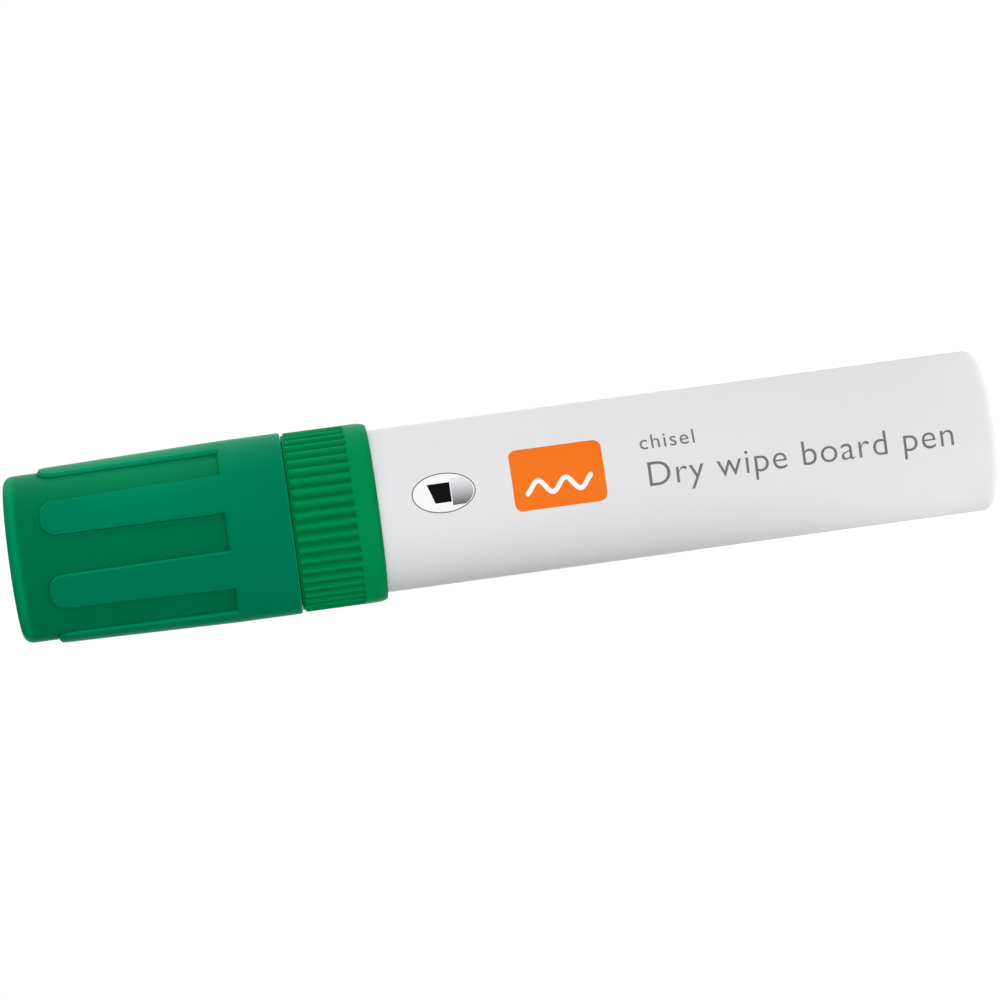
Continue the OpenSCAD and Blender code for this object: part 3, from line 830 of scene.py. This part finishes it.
def ontoBarrel(points, centreHeight, rise):
    # Wraps flat artwork round the barrel: x runs towards the rear end, y round towards +X, and the
    # middle faces -Y: turn = (y + rise) / radius - 90 degrees, height = centre - x, radius grows by z
    turn = (points[..., 1] + rise) / barrelRadius - pi / 2
    radius = barrelRadius + points[..., 2]
    return np.stack([radius * np.cos(turn), radius * np.sin(turn), centreHeight - points[..., 0]], axis=-1)


def inkPatch(name, outline, place, material, film):
    # A thin closed film: the outline shrunk to its middle in even steps, above and below
    steps = prints["patchSteps"]
    share = np.concatenate([np.linspace(0, 1, steps), np.linspace(1, 0, steps)])[:, None, None]
    level = np.repeat([film, -prints["sink"]], steps)[:, None]
    middle = outline.mean(0)
    flat = middle + (outline[None] - middle) * share
    grid = np.concatenate([flat, np.broadcast_to(level, flat.shape[:2])[..., None]], axis=-1)
    addPiece(name, solidFromGrid(name, ontoBarrel(grid, *place)), material, "marker")


def inkBar(name, path, width, place, material, closed=False):
    # A thin closed bar along a path. It reaches half its width to each side of the path; near the ends
    # of an open one that is half its width times sqrt(1 - t^2), which makes them round
    if closed:
        along = np.roll(path, -1, axis=0) - np.roll(path, 1, axis=0)
        reach = np.full(len(path), width / 2)
    else:
        along = np.gradient(path, axis=0)
        travelled = np.append(0, np.cumsum(np.linalg.norm(np.diff(path, axis=0), axis=1)))
        fromEnd = np.minimum(travelled, travelled[-1] - travelled)
        t = 1 - np.clip(fromEnd / (width / 2), 0, 1)
        reach = width / 2 * np.sqrt(1 - t ** 2)
    along /= np.linalg.norm(along, axis=1)[:, None]
    aside = np.stack([-along[:, 1], along[:, 0]], -1) * reach[:, None]
    top, bottom = prints["overprint"], -prints["sink"]
    sides = [
        np.column_stack([path + side * aside, np.full(len(path), level)])
        for side, level in ((-1, bottom), (1, bottom), (1, top), (-1, top))
    ]
    grid = np.stack(sides, axis=0 if closed else 1)
    mesh = solidFromGrid(name, ontoBarrel(grid, *place), closedRows=closed)
    addPiece(name, mesh, material, "marker")


def throughPoints(corners, stepLength):
    # a closed outline with points at even steps along straight lines between its corners
    outline = []
    for here, after in zip(corners, np.roll(corners, -1, axis=0)):
        count = max(1, int(np.linalg.norm(after - here) / stepLength))
        outline.append(here + (after - here) * (np.arange(count) / count)[:, None])
    return np.concatenate(outline)


nibSymbol = {
    "halfLength": 3.95, "halfHeight": 2.48, "lineWidth": 0.13, "nibLeft": -1.98, "nibLowLeft": -1.18,
    "nibRight": 0.86, "nibHalfHeight": 1.24, "ferruleLeft": 0.98, "ferruleHalfHeight": 1.7,
    "ferruleInset": 0.95, "ovalPoints": 96, "nibStep": 0.2, "ferrulePoints": 30, "ferruleStep": 0.3
}


def printNibSymbol():
    # An oval with a slanted black nib and its silver ferrule, which shows the width of the line
    n, place = nibSymbol, prints["symbolPlace"]
    angle = evenTurns(n["ovalPoints"])
    oval = np.stack([n["halfLength"] * np.cos(angle), n["halfHeight"] * np.sin(angle)], -1)
    inkPatch("symbol_white", oval, place, whiteInk, prints["film"])
    inkBar("symbol_oval", oval, n["lineWidth"], place, darkInk, closed=True)
    black = throughPoints(np.array([
        (n["nibLeft"], n["nibHalfHeight"]), (n["nibLowLeft"], -n["nibHalfHeight"]),
        (n["nibRight"], -n["nibHalfHeight"]), (n["nibRight"], n["nibHalfHeight"])
    ]), n["nibStep"])
    inkPatch("symbol_nib", black, place, blackInk, prints["overprint"])
    along = np.linspace(n["ferruleLeft"], n["halfLength"] * n["ferruleInset"], n["ferrulePoints"])
    arc = n["halfHeight"] * np.sqrt(np.maximum(n["ferruleInset"] ** 2 - (along / n["halfLength"]) ** 2, 0))
    half = np.minimum(n["ferruleHalfHeight"], arc)
    upper, lower = np.stack([along, half], -1), np.stack([along, -half], -1)
    silver = throughPoints(np.concatenate([upper, lower[-2::-1]]), n["ferruleStep"])
    inkPatch("symbol_ferrule", silver, place, silverInk, prints["overprint"])


badge = {
    "halfWidth": 5.85, "halfHeight": 4.0, "corner": 1.0, "waveLength": 3.5, "waveHeight": 0.8, "waves": 2.5,
    "strokeWidth": 0.6, "strokeDrop": 1.2, "strokePoints": 120, "sidePoints": 10
}


def printBadge():
    # A plain orange panel with a white wavy pen stroke
    b, place = badge, prints["badgePlace"]
    panel = roundedRectangle(b["halfWidth"], b["halfHeight"], b["corner"], b["sidePoints"])
    inkPatch("badge_panel", panel, place, orangeInk, prints["film"])
    halfLength = b["waveLength"] * b["waves"] / 2
    along = np.linspace(-halfLength, halfLength, b["strokePoints"])
    across = b["waveHeight"] * np.sin(2 * pi * along / b["waveLength"]) - b["strokeDrop"]
    wave = np.stack([along, across], -1)
    inkBar("badge_stroke", wave, b["strokeWidth"], place, whiteInk)


lettering = {
    "small": {"words": "chisel", "size": 2.8, "spacing": 1.14, "thin": 0.0},
    "large": {"words": "Dry wipe board pen", "size": 4.5, "spacing": 1.07, "thin": 0.03},
    "curveSteps": 5, "weldDistance": 0.0005, "sliceStep": 0.35
}


def printLettering(name, look, place):
    # Plain words cut from the built-in face, sliced across the barrel's curve before they are wrapped
    font = bpy.data.curves.new(name, "FONT")
    font.body = look["words"]
    font.size = look["size"]
    font.space_character = look["spacing"]
    font.align_x = "CENTER"
    font.offset = -look["thin"]
    font.resolution_u = lettering["curveSteps"]
    font.extrude = (prints["film"] + prints["sink"]) / 2
    flat = bpy.data.objects.new(name, font)
    bpy.context.scene.collection.objects.link(flat)
    evaluated = flat.evaluated_get(bpy.context.evaluated_depsgraph_get())
    mesh = bpy.data.meshes.new_from_object(evaluated)
    bpy.data.objects.remove(flat)
    work = bmesh.new()
    work.from_mesh(mesh)
    bmesh.ops.remove_doubles(work, verts=work.verts, dist=lettering["weldDistance"])
    low = min(v.co.y for v in work.verts)
    high = max(v.co.y for v in work.verts)
    for height in np.arange(low, high, lettering["sliceStep"])[1:]:
        everything = work.verts[:] + work.edges[:] + work.faces[:]
        bmesh.ops.bisect_plane(work, geom=everything, dist=verySmall, plane_co=(0, height, 0),
                               plane_no=(0, 1, 0))
    bmesh.ops.recalc_face_normals(work, faces=work.faces)
    work.to_mesh(mesh)
    work.free()
    points = np.empty(len(mesh.vertices) * 3)
    mesh.vertices.foreach_get("co", points)
    points = points.reshape(-1, 3)
    points[:, 1] -= (low + high) / 2
    points[:, 2] += (prints["film"] - prints["sink"]) / 2
    mesh.vertices.foreach_set("co", (ontoBarrel(points, *place) * mm).ravel())
    mesh.update()
    addPiece(name, mesh, greyInk, "marker", sharpAngle=25)


printNibSymbol()
printBadge()
printLettering("words_small", lettering["small"], prints["smallPlace"])
printLettering("words_large", lettering["large"], prints["largePlace"])
print("prints made")


# the pieces inside that keep their CAD shape

innerPieces = {"ink_reservoir": storeFibre, "reservoir_film": storeFilm, "breather_tube": tubeNatural}
for node, material in innerPieces.items():
    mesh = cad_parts[node].data
    mesh.materials.clear()
    mesh.materials.append(material)
print("inner pieces given their materials")


# floor, light and camera

studio = {
    "floorRings": (0, 20, 60, 140, 320), "floorColumns": 128, "floorDrop": 0.05, "floorThickness": 2,
    "floorGlow": 0.9, "floorSpill": 0.55, "fleckSize": 2.5,
    # each soft light: its place in degrees round from -Y towards +X, its lift towards +Z, half the
    # width that is at full level, half the width to where it ends, and its level
    "lights": [(8, 0, 12, 42, 2.3), (0, 55, 10, 38, 0.9), (112, 0, 20, 60, 1.48), (-52, 0, 10, 35, 1.1),
               (180, 0, 10, 30, 1.7)],
    # each small lamp: its place, the point it is turned to, its width, its spread in degrees and its power
    "lamps": {
        "rear lamp": ((-32.3, -11.8, 9), (0, 0, 9), 16, 180, 0.0014),
        "cap lamp": ((38.6, -15.6, 108), (0, 0, 108), 16, 80, 0.0009)
    }
}
view = {
    "target": 62.9, "distance": 460.1, "tilt": 4, "roll": 187.74, "drop": 0.64, "shift": 0.17,
    "lens": 129.6, "sensor": 36, "nearest": 0.01, "farthest": 10
}


def paperFloor():
    # White paper, matt, with a glow of its own so that it stays as pale as the backdrop; less of the
    # glow falls on the marker
    material, tree, place = newMaterial("white studio paper")
    colour = mottledColour(tree, place, studio["fleckSize"], 3.0, ("#F7F7F7", "#F3F3F3"))[0]
    seen = addNode(tree, "LightPath").outputs["Is Camera Ray"]
    glow = addNode(tree, "MapRange", {
        "To Min": studio["floorSpill"], "To Max": studio["floorGlow"]
    }, {"Value": seen})
    finishSurface(tree, "BsdfPrincipled", {
        "Roughness": 0.9, "Specular IOR Level": 0.1, "Emission Color": (1, 1, 1, 1)
    }, {"Base Color": colour, "Emission Strength": glow})
    return material


def makeFloor():
    # A flat disc: rings of points at growing radii
    rings = studio["floorRings"]
    turn = evenTurns(studio["floorColumns"])
    radius = np.array([*rings, rings[-1], 0.0])[:, None]
    top = -studio["floorDrop"]
    height = np.repeat([top, top - studio["floorThickness"]], [len(rings), 2])[:, None]
    mesh = solidFromGrid("floorDisc", turnedGrid(radius, height, turn))
    mesh.materials.append(paperFloor())
    floor = bpy.data.objects.new("floor", mesh)
    bpy.context.scene.collection.objects.link(floor)


def makeLight():
    # Round soft lights far away, named as the lying marker is seen: in front, from the cap's end, above,
    # a weak one below and one behind. The camera itself sees plain white behind the marker
    world = bpy.data.worlds.new("studio")
    bpy.context.scene.world = world
    world.use_nodes = True
    tree = world.node_tree
    tree.nodes.clear()
    direction = addNode(tree, "TexCoord").outputs["Generated"]
    total = addNode(tree, "Value")
    for place, height, fullWidth, endWidth, strength in studio["lights"]:
        turn, lift = radians(place), radians(height)
        towards = addNode(tree, "VectorMath", {
            "operation": "DOT_PRODUCT", 1: (sin(turn) * cos(lift), -cos(turn) * cos(lift), sin(lift))
        }, {0: direction})
        level = addNode(tree, "MapRange", {
            "interpolation_type": "SMOOTHSTEP", "From Min": cos(radians(endWidth)),
            "From Max": cos(radians(fullWidth)), "To Max": strength
        }, {"Value": towards.outputs["Value"]})
        total = addNode(tree, "Math", {"operation": "ADD"}, {0: total, 1: level})
    soft = addNode(tree, "Background", {"Color": (1, 1, 1, 1)}, {"Strength": total})
    plain = addNode(tree, "Background", {"Color": (1, 1, 1, 1), "Strength": 1.0})
    seen = addNode(tree, "LightPath").outputs["Is Camera Ray"]
    either = addNode(tree, "MixShader", {}, {0: seen, 1: soft, 2: plain})
    addNode(tree, "OutputWorld", {}, {"Surface": either})


def addLamp(name, place, target, width, spread, power):
    # A square lamp with a grid in front that keeps its light within the spread
    data = bpy.data.lights.new(name, "AREA")
    data.energy = power
    data.size = width * mm
    data.spread = radians(spread)
    lamp = bpy.data.objects.new(name, data)
    bpy.context.scene.collection.objects.link(lamp)
    turned = (Vector(target) - Vector(place)).to_track_quat("-Z", "Y").to_matrix().to_4x4()
    lamp.matrix_world = Matrix.Translation(Vector(place) * mm) @ turned


def makeCamera():
    # The camera's right, up and backward directions follow from its tilt down onto the marker's
    # standing axis and its roll, which lays the marker across the frame
    tilt, roll = radians(view["tilt"]), radians(view["roll"])
    right = Vector((sin(roll), sin(tilt) * cos(roll), cos(tilt) * cos(roll)))
    up = Vector((-cos(roll), sin(tilt) * sin(roll), cos(tilt) * sin(roll)))
    back = Vector((0, -cos(tilt), sin(tilt)))
    aim = Vector((0, 0, view["target"])) - up * view["drop"] + right * view["shift"]
    data = bpy.data.cameras.new("camera")
    data.lens = view["lens"]
    data.sensor_width = view["sensor"]
    data.clip_start = view["nearest"]
    data.clip_end = view["farthest"]
    camera = bpy.data.objects.new("camera", data)
    bpy.context.scene.collection.objects.link(camera)
    turned = Matrix((right, up, back)).transposed().to_4x4()
    camera.matrix_world = Matrix.Translation((aim + back * view["distance"]) * mm) @ turned
    bpy.context.scene.camera = camera


makeFloor()
makeLight()
for name, (place, target, width, spread, power) in studio["lamps"].items():
    addLamp(name, place, target, width, spread, power)
makeCamera()
bpy.context.scene.view_settings.view_transform = "Standard"
print("studio made")
